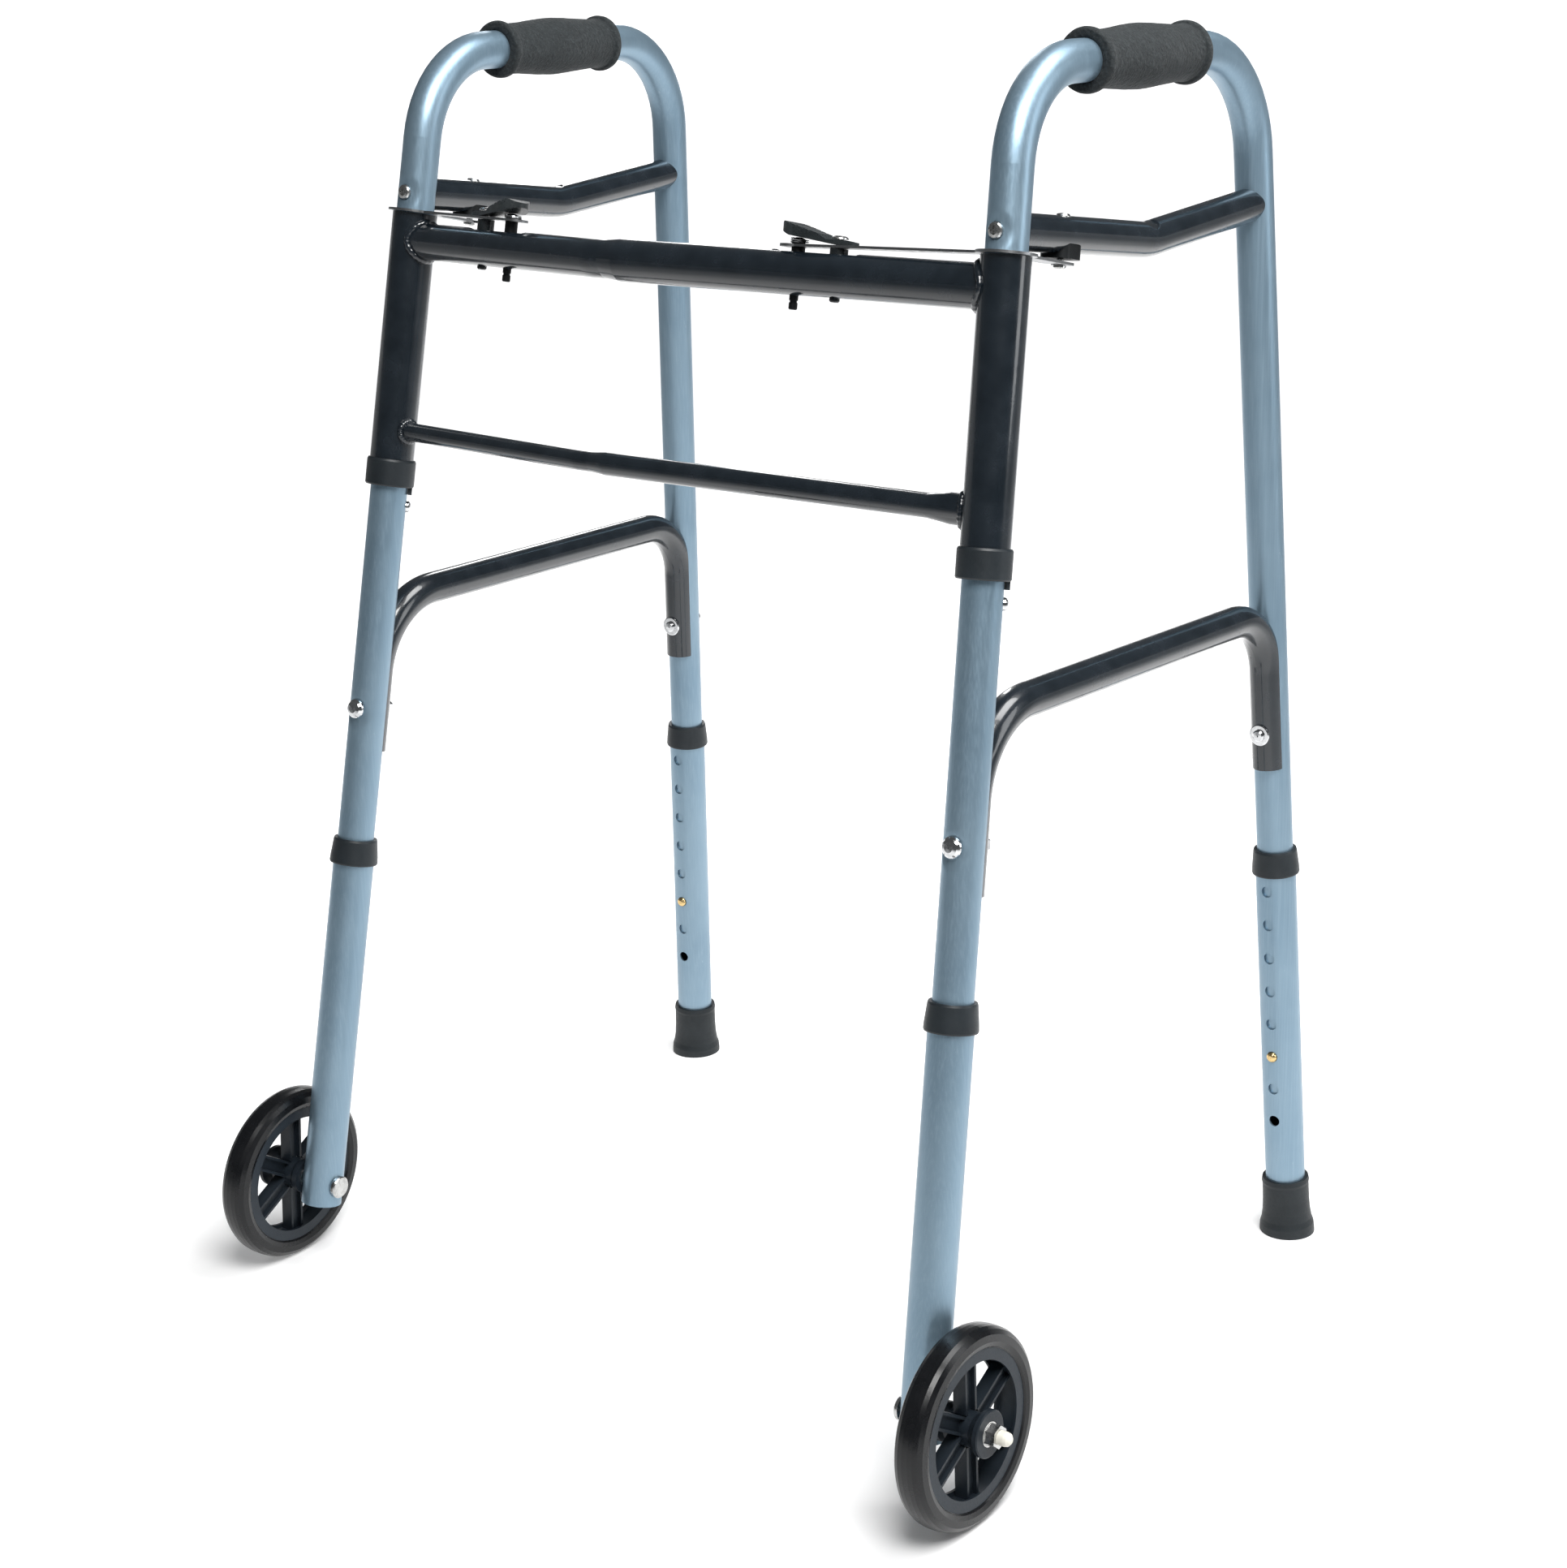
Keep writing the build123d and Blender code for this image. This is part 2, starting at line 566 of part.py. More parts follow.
with BuildPart() as left_axle_nut:
    # inner washer, outer washer and hex nut
    turned(moved_up(AXLE, EXT_R + 0.05), [(4.06, 0), (8.2, 0), (8.2, 0.5), (4.06, 0.5)])
    turned(moved_up(AXLE, WHEEL_OUT + 16.7), [(4.06, 0), (7.9, 0), (7.9, 1.2), (4.06, 1.2)])
    with BuildSketch(moved_up(AXLE, WHEEL_OUT + 18.0)) as hexagon:
        RegularPolygon(7.5, 6)
        Circle(4.06, mode=Mode.SUBTRACT)
    extrude(hexagon.sketch, amount=7.0)
    turned(moved_up(AXLE, WHEEL_OUT + 18.0), [(6.9, 7.2), (9, 7.2), (9, 5.6)], mode=Mode.SUBTRACT)

with BuildPart() as left_axle_cap:
    turned(moved_up(AXLE, WHEEL_OUT + 25.1), [
        (0, 0), (4.6, 0), (4.6, 4.2), (4.1, 6.2), (2.6, 7.6), (0, 8.1)])

# ==================================================================
# latches
# ==================================================================
def latch_plate(axes, pivot, plunger):
    p = plate_plane(axes)
    back = (S.dot(p.x_dir), S.dot(p.y_dir))
    heading = atan2(back[1], back[0]) * 57.29578
    rel = PIN.origin - p.origin
    px, py = rel.dot(p.x_dir), rel.dot(p.y_dir)
    with BuildSketch(p) as outline:
        Circle(18.2)
        with Locations(((plunger + 22) / 2, 0)):
            Rectangle(plunger - 4, 12.5)
        with Locations((plunger + 4, 0)):
            Circle(8.2)
        with Locations((px / 2, py / 2)):
            Rectangle(PIN_BACK + 4, 17, rotation=heading)
        with Locations((px, py)):
            Circle(8.5)
        Circle(13.25, mode=Mode.SUBTRACT)
        # keyhole slot, open inboard, that lets the pin neck out as the frame folds
        with Locations((px, py)):
            Circle(2.75, mode=Mode.SUBTRACT)
        with Locations((px + 6, py + 0.55)):
            Rectangle(12, 6.6, mode=Mode.SUBTRACT)
        with Locations(plate_xy(axes, pivot)):
            Circle(3.0, mode=Mode.SUBTRACT)
        with Locations(plate_xy(axes, plunger)):
            Circle(5.1, mode=Mode.SUBTRACT)
    extrude(outline.sketch, amount=PLATE_T)


def release_pad(axes, pivot, plunger):
    reach = plunger - pivot
    p = plate_plane(axes)
    px, py = plate_xy(axes, pivot)
    root = Plane(origin=p.origin + p.x_dir * px + p.y_dir * py + p.z_dir * PLATE_T, x_dir=p.x_dir, z_dir=p.z_dir)
    tip = reach + 10.0
    with BuildSketch(root) as teardrop:
        with Locations((-10.5, 0)):
            Circle(3.4)
        with Locations((tip - 11.0, 0)):
            Circle(11.0)
        make_hull()
    extrude(teardrop.sketch, amount=17)
    side_view = Plane(origin=root.origin - root.y_dir * 15, x_dir=root.x_dir, z_dir=root.y_dir)
    sgn = 1.0 if side_view.y_dir.dot(root.z_dir) > 0 else -1.0
    # underside rises from the root, top carries a raised ribbed end
    k = 8.1
    pts = [(-16, 0.2), (0, 0.2), (reach, 0.2 + reach * tan(radians(k))),
           (tip + 1, 0.2 + reach * tan(radians(k)) + 4.2), (tip + 1, 0.2 + reach * tan(radians(k)) + 6.5),
           (reach + 5, 0.2 + reach * tan(radians(k)) + 8.6), (12, 6.6), (6.0, 3.1), (-7, 3.1), (-16, 1.5)]
    with BuildSketch(side_view) as profile:
        with BuildLine():
            Polyline(*[(x, sgn * y) for x, y in pts], close=True)
        make_face()
    extrude(profile.sketch, amount=30, mode=Mode.INTERSECT)
    # grip ribs: shallow grooves across the raised end
    rise = atan2(0.2 + reach * tan(radians(k)) + 8.6 - 6.6, reach + 5 - 12)
    for i in range(4):
        x = 17 + i * 4.6
        if x > reach + 3:
            break
        z = 6.6 + (x - 12) * tan(rise)
        groove = Plane(origin=root.origin + root.x_dir * x + root.z_dir * z - root.y_dir * 15,
                       x_dir=root.x_dir, z_dir=root.y_dir)
        with BuildSketch(groove) as slot:
            Circle(0.75)
        extrude(slot.sketch, amount=30, mode=Mode.SUBTRACT)
    # clearance for the pivot bolt
    rod(moved_up(root, -5), 3.1, 20, mode=Mode.SUBTRACT)


def plunger_pin(axes, pivot, plunger, r_bar):
    reach = plunger - pivot
    p = stack(axes, plunger)
    top = plate_height(axes, plunger) + PLATE_T + 0.2 + reach * tan(radians(8.1)) - 0.35
    turned(p, [
        (0, -r_bar - 8.5), (2.1, -r_bar - 8.5), (2.7, -r_bar - 7.9), (2.7, -r_bar - 4.4), (2.2, -r_bar - 4.0),
        (2.2, -r_bar - 3.2), (2.75, -r_bar - 2.8), (2.75, 5.0), (4.2, 5.0), (4.2, top - 1.2),
        (3.3, top - 0.6), (1.8, top - 0.15), (0, top)])


def pivot_bolt(axes, pivot, r_bar):
    p = stack(axes, pivot)
    low = plate_height(axes, pivot)
    head = low + PLATE_T + 3.1 + 0.8
    rod(moved_up(p, -r_bar - 1.0), 2.4, head + r_bar + 1.5)
    turned(moved_up(p, head), [(0, 0), (5.4, 0), (5.2, 0.8), (3.8, 1.8), (0, 2.2)])
    turned(moved_up(flipped(p), r_bar + 0.05), [(0, 0), (3.2, 0), (3.2, 1.4), (2.4, 2.2), (0, 2.4)])
    # black spacer between the bar's flat and the plate
    turned(moved_up(p, r_bar - 1.15), [(2.45, 0), (5.6, 0), (5.6, low - r_bar + 0.85), (2.45, low - r_bar + 0.85)])


with BuildPart() as left_latch_plate:
    latch_plate(AX_L, LEFT_PIVOT, LEFT_PLUNGER)
with BuildPart() as right_latch_plate_blank:
    latch_plate(AX_R, RIGHT_PIVOT, RIGHT_PLUNGER)
with BuildPart() as left_release_pad:
    release_pad(AX_L, LEFT_PIVOT, LEFT_PLUNGER)
with BuildPart() as right_release_pad_blank:
    release_pad(AX_R, RIGHT_PIVOT, RIGHT_PLUNGER)
with BuildPart() as left_latch_plunger:
    plunger_pin(AX_L, LEFT_PIVOT, LEFT_PLUNGER, UPPER_R)
with BuildPart() as right_latch_plunger_blank:
    plunger_pin(AX_R, RIGHT_PIVOT, RIGHT_PLUNGER, UPPER_SMALL_R)
with BuildPart() as left_latch_pivot:
    pivot_bolt(AX_L, LEFT_PIVOT, UPPER_R)
with BuildPart() as right_latch_pivot_blank:
    pivot_bolt(AX_R, RIGHT_PIVOT, UPPER_SMALL_R)

# ==================================================================
# right side: the same pieces, mirrored and set back
# ==================================================================
with BuildPart() as right_pivot_sleeve:
    add(across(left_pivot_sleeve.part))
with BuildPart() as right_side_frame:
    add(across(right_frame_blank.part))
with BuildPart() as right_sleeve_collar:
    add(across(right_sleeve_collar_blank.part))
with BuildPart() as right_hand_grip:
    add(across(left_hand_grip.part))
with BuildPart() as right_side_bar:
    add(across(left_side_bar.part))
with BuildPart() as right_bar_plugs:
    add(across(left_bar_plugs.part))
with BuildPart() as right_bar_screws:
    add(across(left_bar_screws.part))
with BuildPart() as right_lower_brace:
    add(across(left_lower_brace.part))
with BuildPart() as right_brace_bolts:
    add(across(left_brace_bolts.part))
with BuildPart() as right_brace_washers:
    add(across(left_brace_washers.part))
with BuildPart() as right_lock_pin:
    add(across(left_lock_pin.part))
with BuildPart() as right_catch_block:
    add(across(left_catch_block.part))
with BuildPart() as right_retaining_button:
    add(across(right_retaining_blank.part))
with BuildPart() as right_front_snap_button:
    add(across(left_front_snap_button.part))
with BuildPart() as right_rear_snap_button:
    add(across(left_rear_snap_button.part))
with BuildPart() as right_front_extension:
    add(across(left_front_extension.part))
with BuildPart() as right_front_collar:
    add(across(left_front_collar.part))
with BuildPart() as right_rear_extension:
    add(across(left_rear_extension.part))
with BuildPart() as right_rear_collar:
    add(across(left_rear_collar.part))
with BuildPart() as right_foot_tip:
    add(across(left_foot_tip.part))
with BuildPart() as right_tyre:
    add(across(left_tyre.part))
with BuildPart() as right_wheel_hub:
    add(across(left_wheel_hub.part))
with BuildPart() as right_wheel_axle:
    add(across(left_wheel_axle.part))
with BuildPart() as right_axle_nut:
    add(across(left_axle_nut.part))
with BuildPart() as right_axle_cap:
    add(across(left_axle_cap.part))
with BuildPart() as right_latch_plate:
    add(across(right_latch_plate_blank.part))
with BuildPart() as right_release_pad:
    add(across(right_release_pad_blank.part))
with BuildPart() as right_latch_plunger:
    add(across(right_latch_plunger_blank.part))
with BuildPart() as right_latch_pivot:
    add(across(right_latch_pivot_blank.part))

# ==================================================================
# labels and files
# ==================================================================
upper_crossbar.part.label = "upper_crossbar"
export_step(upper_crossbar.part, "parts/upper_crossbar.step")
lower_crossbar.part.label = "lower_crossbar"
export_step(lower_crossbar.part, "parts/lower_crossbar.step")
left_pivot_sleeve.part.label = "left_pivot_sleeve"
export_step(left_pivot_sleeve.part, "parts/left_pivot_sleeve.step")
right_pivot_sleeve.part.label = "right_pivot_sleeve"
export_step(right_pivot_sleeve.part, "parts/right_pivot_sleeve.step")
left_side_frame.part.label = "left_side_frame"
export_step(left_side_frame.part, "parts/left_side_frame.step")
right_side_frame.part.label = "right_side_frame"
export_step(right_side_frame.part, "parts/right_side_frame.step")
left_sleeve_collar.part.label = "left_sleeve_collar"
export_step(left_sleeve_collar.part, "parts/left_sleeve_collar.step")
right_sleeve_collar.part.label = "right_sleeve_collar"
export_step(right_sleeve_collar.part, "parts/right_sleeve_collar.step")
left_hand_grip.part.label = "left_hand_grip"
export_step(left_hand_grip.part, "parts/left_hand_grip.step")
right_hand_grip.part.label = "right_hand_grip"
export_step(right_hand_grip.part, "parts/right_hand_grip.step")
left_side_bar.part.label = "left_side_bar"
export_step(left_side_bar.part, "parts/left_side_bar.step")
right_side_bar.part.label = "right_side_bar"
export_step(right_side_bar.part, "parts/right_side_bar.step")
left_bar_plugs.part.label = "left_bar_plugs"
export_step(left_bar_plugs.part, "parts/left_bar_plugs.step")
right_bar_plugs.part.label = "right_bar_plugs"
export_step(right_bar_plugs.part, "parts/right_bar_plugs.step")
left_bar_screws.part.label = "left_bar_screws"
export_step(left_bar_screws.part, "parts/left_bar_screws.step")
right_bar_screws.part.label = "right_bar_screws"
export_step(right_bar_screws.part, "parts/right_bar_screws.step")
left_lower_brace.part.label = "left_lower_brace"
export_step(left_lower_brace.part, "parts/left_lower_brace.step")
right_lower_brace.part.label = "right_lower_brace"
export_step(right_lower_brace.part, "parts/right_lower_brace.step")
left_brace_bolts.part.label = "left_brace_bolts"
export_step(left_brace_bolts.part, "parts/left_brace_bolts.step")
right_brace_bolts.part.label = "right_brace_bolts"
export_step(right_brace_bolts.part, "parts/right_brace_bolts.step")
left_brace_washers.part.label = "left_brace_washers"
export_step(left_brace_washers.part, "parts/left_brace_washers.step")
right_brace_washers.part.label = "right_brace_washers"
export_step(right_brace_washers.part, "parts/right_brace_washers.step")
left_lock_pin.part.label = "left_lock_pin"
export_step(left_lock_pin.part, "parts/left_lock_pin.step")
right_lock_pin.part.label = "right_lock_pin"
export_step(right_lock_pin.part, "parts/right_lock_pin.step")
left_catch_block.part.label = "left_catch_block"
export_step(left_catch_block.part, "parts/left_catch_block.step")
right_catch_block.part.label = "right_catch_block"
export_step(right_catch_block.part, "parts/right_catch_block.step")
left_retaining_button.part.label = "left_retaining_button"
export_step(left_retaining_button.part, "parts/left_retaining_button.step")
right_retaining_button.part.label = "right_retaining_button"
export_step(right_retaining_button.part, "parts/right_retaining_button.step")
left_front_snap_button.part.label = "left_front_snap_button"
export_step(left_front_snap_button.part, "parts/left_front_snap_button.step")
right_front_snap_button.part.label = "right_front_snap_button"
export_step(right_front_snap_button.part, "parts/right_front_snap_button.step")
left_rear_snap_button.part.label = "left_rear_snap_button"
export_step(left_rear_snap_button.part, "parts/left_rear_snap_button.step")
right_rear_snap_button.part.label = "right_rear_snap_button"
export_step(right_rear_snap_button.part, "parts/right_rear_snap_button.step")
left_front_extension.part.label = "left_front_extension"
export_step(left_front_extension.part, "parts/left_front_extension.step")
right_front_extension.part.label = "right_front_extension"
export_step(right_front_extension.part, "parts/right_front_extension.step")
left_front_collar.part.label = "left_front_collar"
export_step(left_front_collar.part, "parts/left_front_collar.step")
right_front_collar.part.label = "right_front_collar"
export_step(right_front_collar.part, "parts/right_front_collar.step")
left_rear_extension.part.label = "left_rear_extension"
export_step(left_rear_extension.part, "parts/left_rear_extension.step")
right_rear_extension.part.label = "right_rear_extension"
export_step(right_rear_extension.part, "parts/right_rear_extension.step")
left_rear_collar.part.label = "left_rear_collar"
export_step(left_rear_collar.part, "parts/left_rear_collar.step")
right_rear_collar.part.label = "right_rear_collar"
export_step(right_rear_collar.part, "parts/right_rear_collar.step")
left_foot_tip.part.label = "left_foot_tip"
export_step(left_foot_tip.part, "parts/left_foot_tip.step")
right_foot_tip.part.label = "right_foot_tip"
export_step(right_foot_tip.part, "parts/right_foot_tip.step")
left_tyre.part.label = "left_tyre"
export_step(left_tyre.part, "parts/left_tyre.step")
right_tyre.part.label = "right_tyre"
export_step(right_tyre.part, "parts/right_tyre.step")
left_wheel_hub.part.label = "left_wheel_hub"
export_step(left_wheel_hub.part, "parts/left_wheel_hub.step")
right_wheel_hub.part.label = "right_wheel_hub"
export_step(right_wheel_hub.part, "parts/right_wheel_hub.step")
left_wheel_axle.part.label = "left_wheel_axle"
export_step(left_wheel_axle.part, "parts/left_wheel_axle.step")
right_wheel_axle.part.label = "right_wheel_axle"
export_step(right_wheel_axle.part, "parts/right_wheel_axle.step")
left_axle_nut.part.label = "left_axle_nut"
export_step(left_axle_nut.part, "parts/left_axle_nut.step")
right_axle_nut.part.label = "right_axle_nut"
export_step(right_axle_nut.part, "parts/right_axle_nut.step")
left_axle_cap.part.label = "left_axle_cap"
export_step(left_axle_cap.part, "parts/left_axle_cap.step")
right_axle_cap.part.label = "right_axle_cap"
export_step(right_axle_cap.part, "parts/right_axle_cap.step")
left_latch_plate.part.label = "left_latch_plate"
export_step(left_latch_plate.part, "parts/left_latch_plate.step")
right_latch_plate.part.label = "right_latch_plate"
export_step(right_latch_plate.part, "parts/right_latch_plate.step")
left_release_pad.part.label = "left_release_pad"
export_step(left_release_pad.part, "parts/left_release_pad.step")
right_release_pad.part.label = "right_release_pad"
export_step(right_release_pad.part, "parts/right_release_pad.step")
left_latch_plunger.part.label = "left_latch_plunger"
export_step(left_latch_plunger.part, "parts/left_latch_plunger.step")
right_latch_plunger.part.label = "right_latch_plunger"
export_step(right_latch_plunger.part, "parts/right_latch_plunger.step")
left_latch_pivot.part.label = "left_latch_pivot"
export_step(left_latch_pivot.part, "parts/left_latch_pivot.step")
right_latch_pivot.part.label = "right_latch_pivot"
export_step(right_latch_pivot.part, "parts/right_latch_pivot.step")

whole = [b.part.bounding_box() for b in (left_tyre, right_tyre, left_axle_cap, right_axle_cap, left_foot_tip, right_foot_tip, left_hand_grip)]
print("x", min(b.min.X for b in whole), max(b.max.X for b in whole))
print("y", min(b.min.Y for b in whole), max(b.max.Y for b in whole))
print("z", [round(b.min.Z, 3) for b in whole], max(b.max.Z for b in whole))
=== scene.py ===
import json
import math
import random

import bpy
import bmesh
from mathutils import Matrix, Vector, noise


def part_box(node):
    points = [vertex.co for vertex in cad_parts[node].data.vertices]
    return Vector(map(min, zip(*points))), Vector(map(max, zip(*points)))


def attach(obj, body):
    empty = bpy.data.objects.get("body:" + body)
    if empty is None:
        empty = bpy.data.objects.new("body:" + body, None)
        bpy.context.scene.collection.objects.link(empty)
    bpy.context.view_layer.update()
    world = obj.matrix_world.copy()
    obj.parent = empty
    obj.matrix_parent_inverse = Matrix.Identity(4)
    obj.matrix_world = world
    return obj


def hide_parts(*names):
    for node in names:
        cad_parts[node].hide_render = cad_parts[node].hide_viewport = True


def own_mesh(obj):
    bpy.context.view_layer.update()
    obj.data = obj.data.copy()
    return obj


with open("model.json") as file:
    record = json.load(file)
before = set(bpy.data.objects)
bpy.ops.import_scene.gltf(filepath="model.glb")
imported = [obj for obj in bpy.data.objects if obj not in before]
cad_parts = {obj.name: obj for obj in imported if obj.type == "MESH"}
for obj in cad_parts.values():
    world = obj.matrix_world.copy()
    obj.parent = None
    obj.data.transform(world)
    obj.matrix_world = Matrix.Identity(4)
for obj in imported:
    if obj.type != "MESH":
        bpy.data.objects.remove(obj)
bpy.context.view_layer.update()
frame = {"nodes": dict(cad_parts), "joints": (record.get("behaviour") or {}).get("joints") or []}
random.seed(7)

# ---------------------------------------------------------------- layout
# the same layout numbers as the CAD part, in metres
SETBACK = 0.041
TOE, SPLAY = math.radians(2.0), 0.044
FRONT_RAKE, REAR_BASE, REAR_RAKE = 0.199, 0.475, 0.0457
O = Vector((0.277, -0.24185, 0.0))
S = Vector((math.sin(TOE), math.cos(TOE), 0))
T = Vector((-SPLAY, SPLAY * math.tan(TOE), 1)).normalized()
N = S.cross(T)
D_F = (T + S * FRONT_RAKE).normalized()
B_F = D_F.cross(N)
D_R = (T - S * REAR_RAKE).normalized()
B_R = D_R.cross(N)
HANDLE = 0.8449
BEND_X, BEND_BACK = -0.065, 0.013


def at(s, t, n=0.0):
    return O + S * s + T * t + N * n


def front(z, off=0.0):
    t = z / T.z
    return at(FRONT_RAKE * t, t) + D_F * off


def rear(z, off=0.0):
    t = z / T.z
    return at(REAR_BASE - REAR_RAKE * t, t) + D_R * off


def side_point(p, side):
    """A point of the left frame, or its twin on the right."""
    return Vector(p) if side == "left" else Vector((-p[0], p[1] + SETBACK, p[2]))


# ---------------------------------------------------------------- materials
def make(name):
    m = bpy.data.materials.new(name)
    m.use_nodes = True
    nt = m.node_tree
    nt.nodes.clear()
    out = nt.nodes.new("ShaderNodeOutputMaterial")
    bsdf = nt.nodes.new("ShaderNodeBsdfPrincipled")
    nt.links.new(bsdf.outputs[0], out.inputs[0])
    tc = nt.nodes.new("ShaderNodeTexCoord")
    return m, nt, bsdf, tc.outputs["Object"]


def mapping(nt, vec, scale=(1, 1, 1), rot=(0, 0, 0)):
    n = nt.nodes.new("ShaderNodeMapping")
    n.inputs["Scale"].default_value = scale
    n.inputs["Rotation"].default_value = rot
    nt.links.new(vec, n.inputs["Vector"])
    return n.outputs[0]


def tex_noise(nt, vec, scale, detail=4.0, rough=0.55, distort=0.0):
    n = nt.nodes.new("ShaderNodeTexNoise")
    n.inputs["Scale"].default_value = scale
    n.inputs["Detail"].default_value = detail
    n.inputs["Roughness"].default_value = rough
    n.inputs["Distortion"].default_value = distort
    nt.links.new(vec, n.inputs["Vector"])
    return n.outputs["Fac"]


def tex_voronoi(nt, vec, scale, feature="F1"):
    n = nt.nodes.new("ShaderNodeTexVoronoi")
    n.feature = feature
    n.inputs["Scale"].default_value = scale
    nt.links.new(vec, n.inputs["Vector"])
    return n.outputs["Distance"]


def ramp(nt, fac, stops):
    n = nt.nodes.new("ShaderNodeValToRGB")
    els = n.color_ramp.elements
    while len(els) < len(stops):
        els.new(0.5)
    for e, (pos, col) in zip(els, stops):
        e.position = pos
        e.color = (*col, 1) if len(col) == 3 else col
    nt.links.new(fac, n.inputs[0])
    return n.outputs[0]


def grey(v):
    return (v, v, v)


def remap(nt, fac, lo, hi, a=0.0, b=1.0):
    n = nt.nodes.new("ShaderNodeMapRange")
    n.inputs["From Min"].default_value = a
    n.inputs["From Max"].default_value = b
    n.inputs["To Min"].default_value = lo
    n.inputs["To Max"].default_value = hi
    nt.links.new(fac, n.inputs["Value"])
    return n.outputs[0]


def mix_rgb(nt, fac, a, b, blend="MIX"):
    n = nt.nodes.new("ShaderNodeMix")
    n.data_type = "RGBA"
    n.blend_type = blend
    for sock, v in ((n.inputs[0], fac), (n.inputs[6], a), (n.inputs[7], b)):
        if isinstance(v, (int, float)):
            sock.default_value = v
        elif isinstance(v, tuple):
            sock.default_value = (*v, 1)
        else:
            nt.links.new(v, sock)
    return n.outputs[2]


def maths(nt, op, a, b=None):
    n = nt.nodes.new("ShaderNodeMath")
    n.operation = op
    for sock, v in zip(n.inputs, (a, b)):
        if v is None:
            continue
        if isinstance(v, (int, float)):
            sock.default_value = v
        else:
            nt.links.new(v, sock)
    return n.outputs[0]


def bump(nt, bsdf, height, strength, dist, under=None):
    n = nt.nodes.new("ShaderNodeBump")
    n.inputs["Strength"].default_value = strength
    n.inputs["Distance"].default_value = dist
    nt.links.new(height, n.inputs["Height"])
    if under is not None:
        nt.links.new(under, n.inputs["Normal"])
    nt.links.new(n.outputs[0], bsdf.inputs["Normal"])
    nt.links.new(n.outputs[0], bsdf.inputs["Coat Normal"])
    return n.outputs[0]


def edge_wear(nt):
    """0 on open faces, 1 on sharp outer edges."""
    g = nt.nodes.new("ShaderNodeNewGeometry")
    return remap(nt, g.outputs["Pointiness"], 0.0, 1.0, 0.60, 0.72)


def spot(nt, vec, centre, radius):
    """A soft round mask about a point in the object's own space."""
    d = nt.nodes.new("ShaderNodeVectorMath")
    d.operation = "DISTANCE"
    nt.links.new(vec, d.inputs[0])
    d.inputs[1].default_value = centre
    n = nt.nodes.new("ShaderNodeMapRange")
    n.interpolation_type = "SMOOTHERSTEP"
    n.inputs["From Min"].default_value = radius
    n.inputs["From Max"].default_value = radius * 0.25
    nt.links.new(d.outputs["Value"], n.inputs["Value"])
    return n.outputs[0]


def mat_tube(name="blue_anodised", dents=()):
    """Satin steel-blue anodised tube: drawing lines along the leg, faint handling marks."""
    m, nt, b, v = make(name)
    along = mapping(nt, v, (900, 900, 9))
    lines = tex_noise(nt, along, 1.0, 3, 0.6)
    cloud = tex_noise(nt, v, 14, 3)
    scuff = tex_noise(nt, mapping(nt, v, (260, 260, 60), (0.4, 0.2, 0.7)), 1.0, 6, 0.7, 0.6)
    base = mix_rgb(nt, remap(nt, cloud, 0, 1, 0.3, 0.7), (0.205, 0.305, 0.390), (0.255, 0.362, 0.448))
    base = mix_rgb(nt, remap(nt, lines, 0, 0.5, 0.45, 0.75), base, (0.305, 0.415, 0.505))
    scratch = remap(nt, scuff, 0, 1, 0.66, 0.74)
    base = mix_rgb(nt, maths(nt, "MULTIPLY", scratch, 0.35), base, (0.46, 0.56, 0.64))
    nt.links.new(base, b.inputs["Base Color"])
    b.inputs["Metallic"].default_value = 0.72
    nt.links.new(remap(nt, lines, 0.34, 0.45, 0.3, 0.7), b.inputs["Roughness"])
    b.inputs["Coat Weight"].default_value = 0.05
    b.inputs["Coat Roughness"].default_value = 0.18
    first = bump(nt, b, lines, 0.10, 0.0002)
    last = bump(nt, b, scuff, 0.05, 0.0003, first)
    for c, r in dents:
        last = bump(nt, b, maths(nt, "MULTIPLY", spot(nt, v, c, r), -1.0), 0.8, 0.0016, last)
    return m


def mat_paint(name="black_enamel", dents=()):
    """Glossy black enamel with a little orange peel and dust."""
    m, nt, b, v = make(name)
    peel = tex_noise(nt, v, 520, 2, 0.5)
    broad = tex_noise(nt, v, 60, 3, 0.5)
    dust = tex_noise(nt, v, 1500, 2, 0.7)
    base = mix_rgb(nt, remap(nt, broad, 0, 1, 0.35, 0.65), (0.0052, 0.0088, 0.0128), (0.0088, 0.0135, 0.0188))
    base = mix_rgb(nt, maths(nt, "MULTIPLY", remap(nt, dust, 0, 1, 0.72, 0.80), 0.15), base, (0.07, 0.08, 0.085))
    nt.links.new(base, b.inputs["Base Color"])
    nt.links.new(remap(nt, broad, 0.20, 0.29, 0.3, 0.7), b.inputs["Roughness"])
    b.inputs["Coat Weight"].default_value = 0.7
    b.inputs["Coat Roughness"].default_value = 0.06
    b.inputs["Specular IOR Level"].default_value = 0.5
    n1 = bump(nt, b, peel, 0.05, 0.0004)
    n2 = bump(nt, b, broad, 0.06, 0.0012, n1)
    for c, r in dents:
        n2 = bump(nt, b, maths(nt, "MULTIPLY", spot(nt, v, c, r), -1.0), 1.0, 0.0042, n2)
    return m


